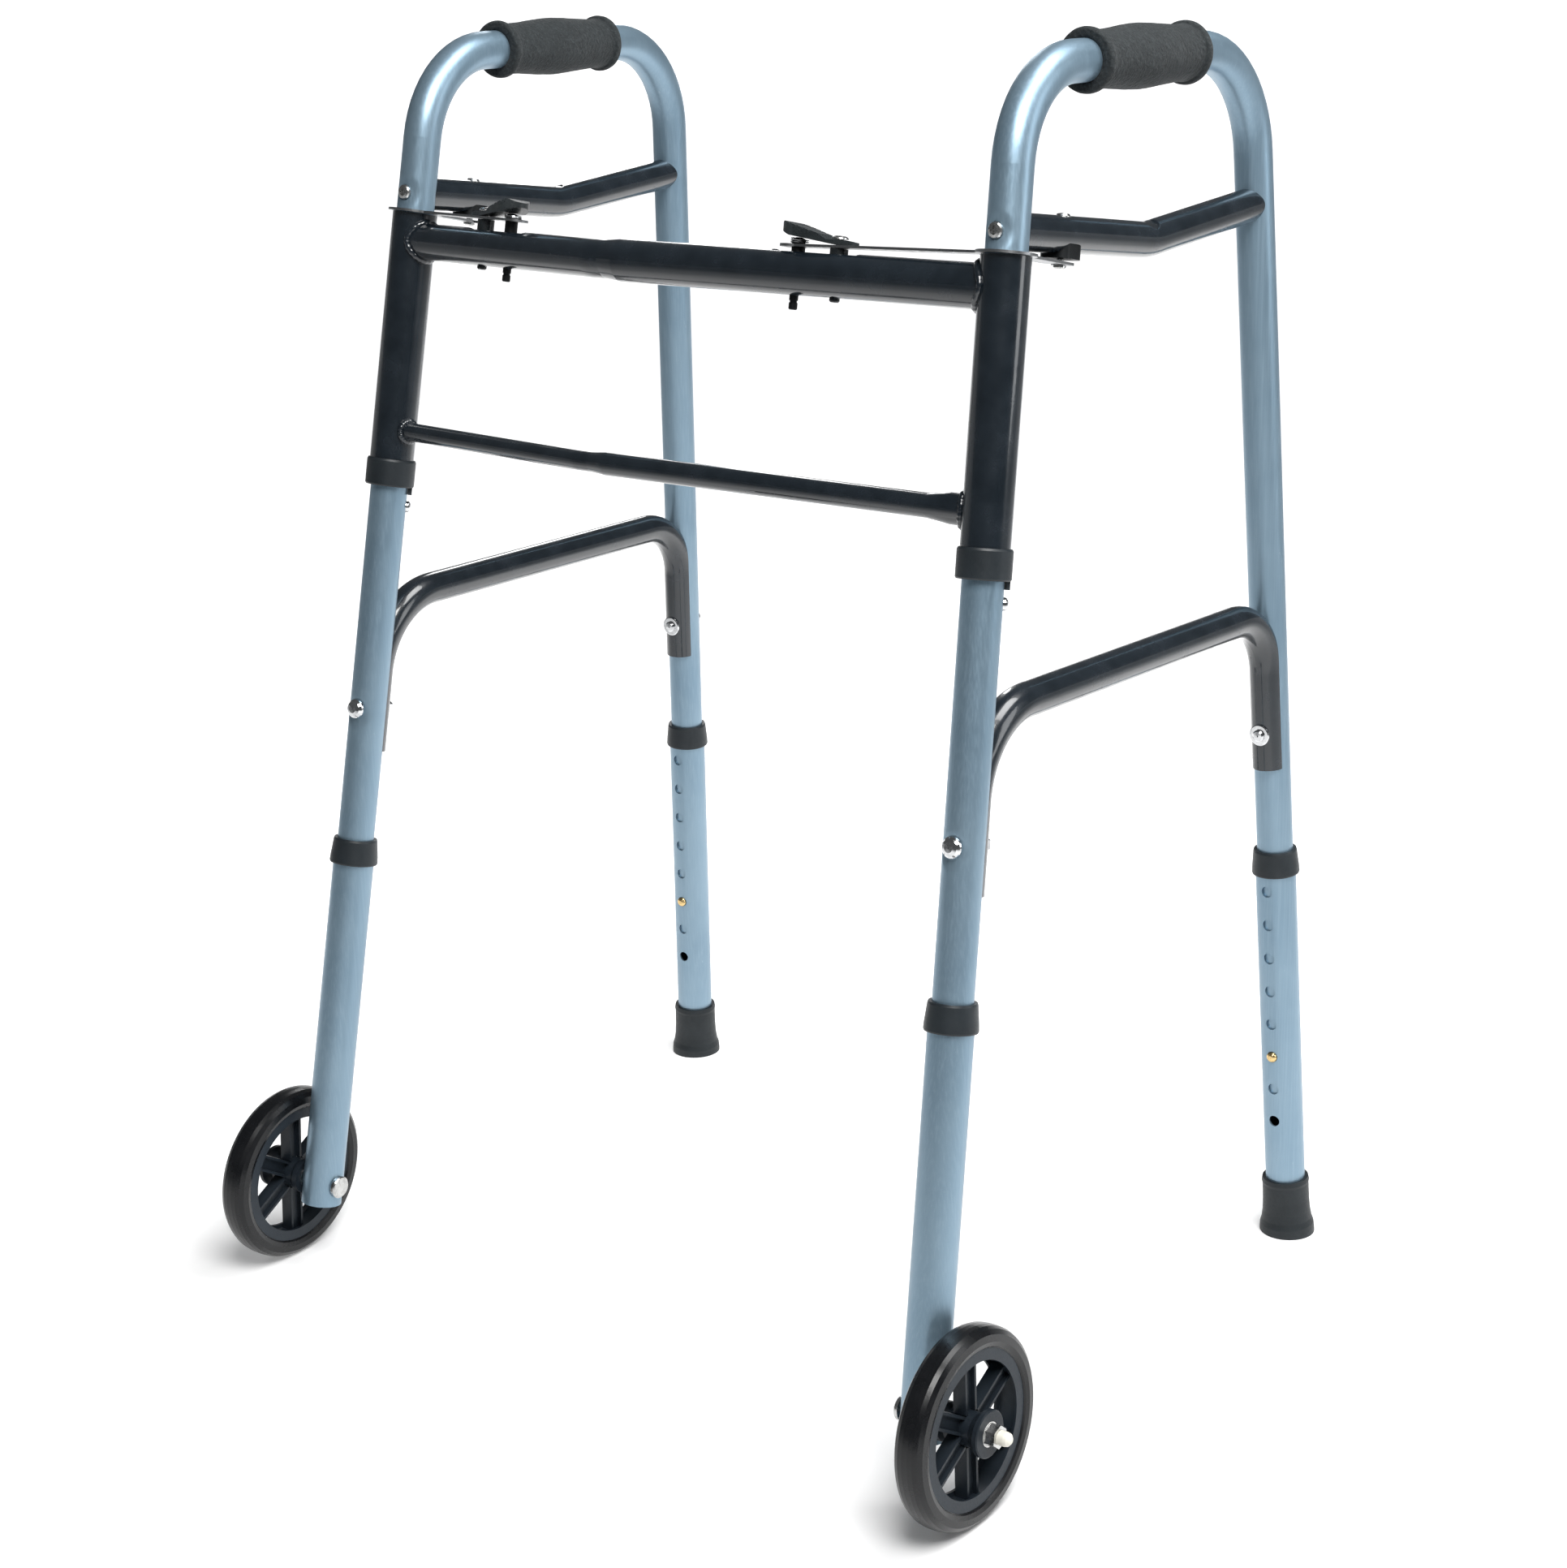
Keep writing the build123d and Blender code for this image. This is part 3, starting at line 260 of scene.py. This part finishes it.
def mat_moulded(name, dark, light, rough, grain=900, strength=0.12, spec=0.4):
    """Moulded plastic with a fine spark-eroded grain and worn edges."""
    m, nt, b, v = make(name)
    g = tex_noise(nt, v, grain, 3, 0.6)
    cloud = tex_noise(nt, v, 35, 3)
    base = mix_rgb(nt, remap(nt, cloud, 0, 1, 0.3, 0.7), dark, light)
    base = mix_rgb(nt, maths(nt, "MULTIPLY", edge_wear(nt), 0.5), base, tuple(min(1, c * 2.6 + 0.01) for c in light))
    nt.links.new(base, b.inputs["Base Color"])
    nt.links.new(remap(nt, g, rough - 0.06, rough + 0.08, 0.3, 0.7), b.inputs["Roughness"])
    b.inputs["Specular IOR Level"].default_value = spec
    bump(nt, b, g, strength, 0.0003)
    return m


def mat_foam():
    """Closed-cell foam: open pores painted darker as painted shade, over a skinned surface, paler flecks."""
    m, nt, b, v = make("grip_foam_skin")
    skin = tex_noise(nt, v, 430, 5, 0.62, 0.4)
    pores = tex_voronoi(nt, v, 360, "F1")
    big = tex_noise(nt, v, 95, 4, 0.6)
    fleck = tex_noise(nt, v, 900, 2, 0.8)
    base = mix_rgb(nt, remap(nt, big, 0, 1, 0.3, 0.7), (0.0075, 0.0108, 0.0125), (0.0120, 0.0165, 0.0185))
    base = mix_rgb(nt, maths(nt, "MULTIPLY", remap(nt, skin, 0, 1, 0.48, 0.68), 0.65), base, (0.036, 0.044, 0.047))
    base = mix_rgb(nt, maths(nt, "MULTIPLY", remap(nt, fleck, 0, 1, 0.62, 0.70), 0.5), base, (0.085, 0.098, 0.103))
    # painted shade: the pore hollows are painted near black, on top of the pits the bump cuts
    base = mix_rgb(nt, maths(nt, "MULTIPLY", remap(nt, pores, 1, 0, 0.0, 0.30), 0.7), base, (0.004, 0.006, 0.007))
    nt.links.new(base, b.inputs["Base Color"])
    nt.links.new(remap(nt, skin, 0.66, 0.92, 0.3, 0.8), b.inputs["Roughness"])
    b.inputs["Sheen Weight"].default_value = 0.06
    b.inputs["Sheen Roughness"].default_value = 0.5
    b.inputs["Specular IOR Level"].default_value = 0.35
    n1 = bump(nt, b, pores, 0.5, 0.0009)
    n2 = bump(nt, b, skin, 0.85, 0.0014, n1)
    bump(nt, b, big, 0.30, 0.0022, n2)
    return m


def mat_metal(name, colour, rough, streak=(700, 700, 700), metallic=1.0, strength=0.06, tint=(0.5, 0.5, 0.5)):
    """Plated or bare steel with fine turning marks and a smudged polish."""
    m, nt, b, v = make(name)
    lines = tex_noise(nt, mapping(nt, v, streak), 1.0, 4, 0.6)
    smudge = tex_noise(nt, v, 240, 4, 0.6, 0.4)
    base = mix_rgb(nt, remap(nt, smudge, 0, 1, 0.35, 0.7), colour, tuple(c * 0.72 for c in colour))
    base = mix_rgb(nt, maths(nt, "MULTIPLY", remap(nt, lines, 0, 1, 0.55, 0.8), 0.3), base, tint)
    nt.links.new(base, b.inputs["Base Color"])
    b.inputs["Metallic"].default_value = metallic
    nt.links.new(remap(nt, smudge, rough * 0.75, rough * 1.4, 0.3, 0.7), b.inputs["Roughness"])
    bump(nt, b, lines, strength, 0.0002)
    return m


def mat_tyre():
    """Moulded tyre: glossy black with fine grain and specks of dust."""
    m, nt, b, v = make("tyre_rubber")
    fine = tex_noise(nt, v, 650, 3, 0.6)
    patch = tex_noise(nt, v, 40, 4, 0.6)
    base = mix_rgb(nt, remap(nt, patch, 0, 1, 0.35, 0.7), (0.0040, 0.0045, 0.0055), (0.0080, 0.0086, 0.0098))
    base = mix_rgb(nt, maths(nt, "MULTIPLY", remap(nt, fine, 0, 1, 0.68, 0.76), 0.3), base, (0.07, 0.07, 0.07))
    nt.links.new(base, b.inputs["Base Color"])
    nt.links.new(remap(nt, patch, 0.22, 0.34, 0.3, 0.7), b.inputs["Roughness"])
    b.inputs["Specular IOR Level"].default_value = 0.28
    b.inputs["Coat Weight"].default_value = 0.12
    b.inputs["Coat Roughness"].default_value = 0.25
    n1 = bump(nt, b, fine, 0.12, 0.0003)
    bump(nt, b, patch, 0.10, 0.0010, n1)
    return m


def mat_pivot(side):
    """Bright bolt head above the latch plate; the spacer and tail below it are black."""
    j = {q["name"]: q for q in frame["joints"]}
    upward = -Vector(j[side + "_plunger_slide"]["axis"]).normalized()
    level = Vector(j[side + "_pad_press"]["pos_m"]).dot(upward) - 0.0012
    m, nt, b, v = make("latch_pivot_" + side)
    d = nt.nodes.new("ShaderNodeVectorMath")
    d.operation = "DOT_PRODUCT"
    d.inputs[1].default_value = tuple(upward)
    nt.links.new(v, d.inputs[0])
    head = remap(nt, d.outputs["Value"], 0, 1, level - 0.0002, level + 0.0002)
    smudge = tex_noise(nt, v, 240, 4, 0.6, 0.4)
    bright = mix_rgb(nt, remap(nt, smudge, 0, 1, 0.35, 0.7), (0.66, 0.66, 0.65), (0.46, 0.46, 0.46))
    dark = mix_rgb(nt, smudge, (0.006, 0.008, 0.009), (0.014, 0.017, 0.019))
    nt.links.new(mix_rgb(nt, head, dark, bright), b.inputs["Base Color"])
    nt.links.new(head, b.inputs["Metallic"])
    nt.links.new(remap(nt, smudge, 0.20, 0.36, 0.3, 0.7), b.inputs["Roughness"])
    bump(nt, b, smudge, 0.06, 0.0002)
    return m


kink, dimples = {}, {}
for side in ("left", "right"):
    dimples[side] = [(tuple(side_point(front(z) - S * 0.0127, side)), 0.0135) for z in (0.7542, 0.4044)]
    c = at(FRONT_RAKE * 0.7542 + 0.151, 0.7357) + T * 0.0111 + N * 0.0035
    kink[side] = (tuple(side_point(c, side)), 0.0085)

blue = mat_tube()
blue_frame = {s: mat_tube("blue_anodised_" + s, dimples[s]) for s in kink}
paint = mat_paint()
bar_paint = {s: mat_paint("bar_enamel_" + s, [kink[s]]) for s in kink}
moulded = mat_moulded("collar_moulded", (0.0095, 0.0130, 0.0160), (0.0180, 0.0235, 0.0280), 0.42)
block_mat = mat_moulded("catch_moulded", (0.0030, 0.0038, 0.0044), (0.0060, 0.0072, 0.0080), 0.42, spec=0.2)
hub_mat = mat_moulded("hub_moulded", (0.0085, 0.0125, 0.0175), (0.0150, 0.0205, 0.0270), 0.40, 700, 0.10, 0.22)
pad_mat = mat_moulded("pad_moulded", (0.010, 0.013, 0.014), (0.020, 0.024, 0.026), 0.30, 1000, 0.08, 0.5)
tip_mat = mat_moulded("tip_moulded_rubber", (0.0085, 0.0120, 0.0145), (0.0180, 0.0230, 0.0265), 0.50, 600, 0.18, 0.35)
cap_mat = mat_moulded("cap_moulded", (0.62, 0.60, 0.52), (0.78, 0.76, 0.68), 0.35, 500, 0.05, 0.5)
foam = mat_foam()
zinc = mat_metal("zinc_plated", (0.62, 0.62, 0.61), 0.24, (500, 500, 500))
chrome = mat_metal("bright_chrome", (0.78, 0.79, 0.80), 0.10, (300, 300, 300), strength=0.03)
brass = mat_metal("brass_ball", (0.78, 0.56, 0.26), 0.20, (600, 600, 600), tint=(0.5, 0.32, 0.12))
strip = mat_metal("spring_strip", (0.36, 0.37, 0.38), 0.33, (60, 900, 900), strength=0.10, tint=(0.22, 0.22, 0.22))
tyre_mat = mat_tyre()

finish = {
    "side_frame": blue, "front_extension": blue, "rear_extension": blue,
    "lower_brace": paint, "pivot_sleeve": paint,
    "bar_plugs": moulded, "sleeve_collar": moulded, "front_collar": moulded, "rear_collar": moulded,
    "catch_block": block_mat, "latch_plunger": block_mat,
    "bar_screws": zinc, "lock_pin": zinc, "latch_pivot": zinc, "wheel_axle": zinc, "axle_nut": zinc,
    "brace_bolts": chrome, "brace_washers": chrome, "retaining_button": chrome,
    "front_snap_button": brass, "rear_snap_button": brass,
    "foot_tip": tip_mat, "tyre": tyre_mat, "wheel_hub": hub_mat, "axle_cap": cap_mat,
    "latch_plate": strip, "release_pad": pad_mat, "hand_grip": foam,
}
for name, obj in frame["nodes"].items():
    side, _, kind = name.partition("_")
    if kind == "side_bar":
        m = bar_paint[side]
    elif kind == "side_frame":
        m = blue_frame[side]
    elif kind == "latch_pivot":
        m = mat_pivot(side)
    else:
        m = finish.get(kind, paint)
    if obj.material_slots:
        for slot in obj.material_slots:
            slot.material = m
    else:
        obj.data.materials.append(m)
    # the drawn look of a turned part: smooth round, sharp at edges
    for p in obj.data.polygons:
        p.use_smooth = True
    if hasattr(obj.data, "set_sharp_from_angle"):
        obj.data.set_sharp_from_angle(angle=math.radians(32))


# ---------------------------------------------------------------- helpers for pieces
def mesh_object(name, verts, faces, mat, smooth=True):
    me = bpy.data.meshes.new(name)
    me.from_pydata([tuple(v) for v in verts], [], faces)
    me.update()
    bm = bmesh.new()
    bm.from_mesh(me)
    bmesh.ops.recalc_face_normals(bm, faces=bm.faces)
    bm.to_mesh(me)
    bm.free()
    for p in me.polygons:
        p.use_smooth = smooth
    ob = bpy.data.objects.new(name, me)
    bpy.context.scene.collection.objects.link(ob)
    ob.data.materials.append(mat)
    return ob


def ring_tube(name, path, radii, mat, closed=True, sides=14):
    """Round bead along a list of points with a radius at each."""
    n = len(path)
    verts, faces = [], []
    for i, p in enumerate(path):
        a = path[(i - 1) % n] if (closed or i > 0) else path[i]
        b = path[(i + 1) % n] if (closed or i < n - 1) else path[i]
        t = (b - a).normalized()
        if i == 0:
            ref = t.orthogonal().normalized()
        x = (ref - t * ref.dot(t)).normalized()
        ref = x
        y = t.cross(x)
        for k in range(sides):
            an = 2 * math.pi * k / sides
            verts.append(p + (x * math.cos(an) + y * math.sin(an)) * radii[i])
    # a closed loop may come back turned: start the last band where it meets the first best
    turn = 0
    if closed:
        last = verts[-sides:]
        turn = min(range(sides), key=lambda k: (last[0] - verts[k]).length)
    for i in range(n if closed else n - 1):
        j = (i + 1) % n
        off = turn if (closed and j == 0) else 0
        for k in range(sides):
            k2 = (k + 1) % sides
            faces.append((i * sides + k, i * sides + k2, j * sides + (k2 + off) % sides, j * sides + (k + off) % sides))
    if not closed:
        faces.append(tuple(range(sides)))
        faces.append(tuple((n - 1) * sides + k for k in range(sides)))
    return mesh_object(name, verts, faces, mat)


# ---------------------------------------------------------------- foam grips
def grip_profile():
    pts = [(0.0, 0.01275), (0.0, 0.0150), (0.0, 0.0172)]
    # rolled flange
    for k in range(9):
        a = math.pi * (1 - k / 8)
        pts.append((0.0033 + 0.0033 * math.cos(a), 0.0174 + 0.0020 * math.sin(a) ** 0.8 if 0 < k < 8 else 0.0176))
    body = [(0.0085, 0.0173), (0.0105, 0.01705), (0.016, 0.0171), (0.024, 0.0174), (0.034, 0.0180), (0.044, 0.0187),
            (0.053, 0.01915), (0.060, 0.0193)]
    pts += body
    pts += [(0.120 - x, r) for x, r in reversed(body[:-1])]
    flange = [(0.120 - x, r) for x, r in reversed(pts[:12])]
    return pts + flange


for side in ("left", "right"):
    mid = (FRONT_RAKE * HANDLE + REAR_BASE - REAR_RAKE * HANDLE) / 2 - 0.0056
    a0 = at(mid - 0.060, HANDLE)
    prof = grip_profile()
    dense = []
    for (x0, r0), (x1, r1) in zip(prof, prof[1:]):
        steps = max(1, int(abs(x1 - x0) / 0.0022))
        for i in range(steps):
            f = i / steps
            dense.append((x0 + (x1 - x0) * f, r0 + (r1 - r0) * f))
    dense.append(prof[-1])
    seg = 96
    verts, faces = [], []
    for x, r in dense:
        for k in range(seg):
            an = 2 * math.pi * k / seg
            d = T * math.cos(an) + N * math.sin(an)
            # soft unevenness of cut foam, none at the bore
            soft = 0.0 if r < 0.0140 else 1.0
            q = a0 + S * x
            w = noise.noise((q + d * r) * 55) * 0.00028 + noise.noise((q + d * r) * 190) * 0.00012
            verts.append(side_point(q + d * (r + soft * w), side))
    n = len(dense)
    for i in range(n):
        j = (i + 1) % n
        for k in range(seg):
            k2 = (k + 1) % seg
            faces.append((i * seg + k, i * seg + k2, j * seg + k2, j * seg + k))
    g = mesh_object("foam_grip_" + side, verts, faces, foam)
    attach(g, side + "_side")
    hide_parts(side + "_hand_grip")


# ---------------------------------------------------------------- weld beads
def weld(name, origin, along, r_bar, leg_dir, r_sleeve, flat=None):
    """Bead where a bar of radius r_bar meets a sleeve; along points from the sleeve into the bar."""
    along = along.normalized()
    e1 = (leg_dir - along * leg_dir.dot(along)).normalized()
    e2 = along.cross(e1)
    path, radii = [], []
    steps = 72
    for k in range(steps):
        an = 2 * math.pi * k / steps
        ra, rb = (r_bar, r_bar) if flat is None else flat
        p = e1 * (ra * math.cos(an)) + e2 * (rb * math.sin(an))
        # walk out along the bar until the sleeve surface is reached
        x = r_sleeve
        for _ in range(12):
            q = p + along * x
            radial = q - leg_dir * q.dot(leg_dir)
            x += (r_sleeve - radial.length) / max(0.3, along.dot(radial.normalized()))
        ripple = 0.00022 * math.sin(an * 23) + 0.00018 * noise.noise(Vector((math.cos(an) * 3, math.sin(an) * 3, x * 50)))
        out = p.normalized() * 0.0003
        path.append(origin + p + along * (x + 0.0010) + out)
        radii.append(0.0019 + 0.0005 * abs(math.cos(an)) + ripple)
    return ring_tube(name, path, radii, paint)


for label, z, r_big, r_small, oval in (("upper", 0.722, 0.0135, 0.01225, None), ("lower", 0.596, 0.0075, 0.00635, (0.0096, 0.0069))):
    pl = front(z)
    pr = side_point(pl, "right")
    corner = Vector((BEND_X, pl.y + BEND_BACK, pl.z))
    wl = weld("weld_%s_left" % label, pl, corner - pl, r_big, D_F, 0.0151, oval)
    wr = weld("weld_%s_right" % label, pr, corner - pr, r_small, Vector((-D_F.x, D_F.y, D_F.z)), 0.0151)
    for w in (wl, wr):
        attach(w, "front_frame")


# ---------------------------------------------------------------- latch return springs
joints = {j["name"]: j for j in frame["joints"]}
for side in ("left", "right"):
    j = joints[side + "_plunger_slide"]
    axis = -Vector(j["axis"]).normalized()          # upward
    lo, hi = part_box(side + "_latch_plunger")
    plate_lo, plate_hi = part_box(side + "_latch_plate")
    # centre line of the plunger: middle of its box, moved along its own axis
    centre = (Vector(lo) + Vector(hi)) / 2
    pivot = Vector(joints[side + "_pad_press"]["pos_m"])
    seat, reach = (-0.00010, 0.00270) if side == "left" else (0.00045, 0.00248)
    foot = centre + axis * (pivot - centre).dot(axis)
    low, top = foot + axis * seat, foot + axis * reach
    x = axis.orthogonal().normalized()
    y = axis.cross(x)
    turns, steps = 2.6, 120
    path, radii = [], []
    for i in range(steps + 1):
        f = i / steps
        an = 2 * math.pi * turns * f
        path.append(low + (top - low) * f + (x * math.cos(an) + y * math.sin(an)) * 0.0054)
        radii.append(0.00042)
    sp = ring_tube("pad_spring_" + side, path, radii, chrome, closed=False, sides=10)
    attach(sp, "front_frame")
    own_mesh(sp)


# ---------------------------------------------------------------- studio
VIEW = Vector((-math.sin(math.radians(34.271)), math.cos(math.radians(34.271)), 0))


def studio():
    """A wide pale bowl: flat floor, swept edge and low wall; where the camera looks the floor is white and glows as
    painted light, brighter on the far side.
    """
    R, r, h = 7.5, 1.1, 1.25
    rings = [(R - r, 0.0)]
    for k in range(1, 11):
        a = math.pi / 2 * k / 10
        rings.append((R - r + r * math.sin(a), r - r * math.cos(a)))
    rings.append((R, h))
    seg = 96
    verts, faces = [Vector((0, 0, 0))], []
    for rr, z in rings:
        for k in range(seg):
            an = 2 * math.pi * k / seg
            verts.append(Vector((rr * math.cos(an), rr * math.sin(an), z)))
    for k in range(seg):
        faces.append((0, 1 + k, 1 + (k + 1) % seg))
    for i in range(len(rings) - 1):
        for k in range(seg):
            k2 = (k + 1) % seg
            faces.append((1 + i * seg + k, 1 + i * seg + k2, 1 + (i + 1) * seg + k2, 1 + (i + 1) * seg + k))
    m, nt, b, v = make("studio_floor")
    fine = tex_noise(nt, v, 3.0, 3)
    def along(direction):
        d = nt.nodes.new("ShaderNodeVectorMath")
        d.operation = "DOT_PRODUCT"
        d.inputs[1].default_value = tuple(direction)
        nt.links.new(v, d.inputs[0])
        return d.outputs["Value"]

    def soft(value, lo, hi, top=1.0):
        n = nt.nodes.new("ShaderNodeMapRange")
        n.interpolation_type = "SMOOTHSTEP"
        n.inputs["From Min"].default_value = lo
        n.inputs["From Max"].default_value = hi
        n.inputs["To Max"].default_value = top
        nt.links.new(value, n.inputs["Value"])
        return n.outputs[0]

    depth = along(VIEW)
    across = along((VIEW.y, -VIEW.x, 0))
    spread = maths(nt, "DIVIDE", maths(nt, "ABSOLUTE", across), maths(nt, "MAXIMUM", maths(nt, "ADD", depth, 3.2), 0.1))
    # painted light: inside this zone the floor is white and glows; behind and beside the camera it is a plain darker
    # grey
    painted_glow_zone = maths(nt, "MULTIPLY", soft(depth, -2.2, -0.9), soft(spread, 0.46, 0.30))
    white = mix_rgb(nt, fine, (0.86, 0.86, 0.865), (0.88, 0.88, 0.88))
    nt.links.new(mix_rgb(nt, painted_glow_zone, (0.62, 0.63, 0.64), white), b.inputs["Base Color"])
    b.inputs["Roughness"].default_value = 0.85
    b.inputs["Specular IOR Level"].default_value = 0.05
    # painted light: the floor's own glow, strongest on the far side
    glow = maths(nt, "ADD", maths(nt, "MULTIPLY", painted_glow_zone, soft(depth, -0.5, 1.3, 0.67)), soft(depth, -1.5, 1.3, 0.18))
    b.inputs["Emission Color"].default_value = (1, 1, 1, 1)
    nt.links.new(glow, b.inputs["Emission Strength"])
    floor = mesh_object("studio_floor", verts, faces, m)
    floor.location.z = -0.0002
    if floor.data.polygons[0].normal.z < 0:
        floor.data.flip_normals()


studio()


def area(name, loc, target, size, power, colour=(1, 1, 1), size_y=None):
    d = bpy.data.lights.new(name, "AREA")
    d.energy = power
    d.color = colour
    d.size = size
    if size_y:
        d.shape = "RECTANGLE"
        d.size_y = size_y
    o = bpy.data.objects.new(name, d)
    bpy.context.scene.collection.objects.link(o)
    o.location = loc
    o.rotation_euler = (Vector(target) - Vector(loc)).to_track_quat("-Z", "Y").to_euler()
    return o


area("main", (1.35, -1.15, 2.6), (0.0, 0.0, 0.1), 1.4, 92, (1.0, 0.995, 0.985))
area("over", (0.9, 0.5, 2.6), (0.3, 0.3, 0), 1.2, 40)
area("side", (2.3, 0.9, 1.25), (0.1, 0.1, 0.45), 0.8, 12, (0.97, 0.985, 1.0), 1.4)
area("rim", (-1.7, 2.0, 1.75), (0, 0, 0.6), 0.3, 7, (1, 1, 1), 1.2)

world = bpy.data.worlds.new("studio_world")
bpy.context.scene.world = world
world.use_nodes = True
bg = world.node_tree.nodes["Background"]
bg.inputs[0].default_value = (0.93, 0.97, 1, 1)
bg.inputs[1].default_value = 0.10

bpy.context.scene.view_settings.view_transform = "Standard"

# ---------------------------------------------------------------- camera
CAM = Vector((1.090618, -1.455605, 0.911924))
YAW, PITCH, ROLL = math.radians(34.271), math.radians(18.463), math.radians(-0.80)
FOCAL, CX, CY = 3375.55, 1095.59, 1054.64          # in a 1931 x 1932 frame
fwd = Vector((-math.sin(YAW) * math.cos(PITCH), math.cos(YAW) * math.cos(PITCH), -math.sin(PITCH)))
right = Vector((math.cos(YAW), math.sin(YAW), 0))
up = right.cross(fwd)
r2 = right * math.cos(ROLL) + up * math.sin(ROLL)
u2 = up * math.cos(ROLL) - right * math.sin(ROLL)
cam_data = bpy.data.cameras.new("camera")
cam = bpy.data.objects.new("camera", cam_data)
bpy.context.scene.collection.objects.link(cam)
cam.matrix_world = Matrix((
    (r2.x, u2.x, -fwd.x, CAM.x), (r2.y, u2.y, -fwd.y, CAM.y), (r2.z, u2.z, -fwd.z, CAM.z), (0, 0, 0, 1)))
cam_data.sensor_width = 36
cam_data.lens = FOCAL * 36 / 1932
cam_data.shift_x = (965.5 - CX) / 1932
cam_data.shift_y = (CY - 966) / 1932
cam_data.clip_end = 100
bpy.context.scene.camera = cam
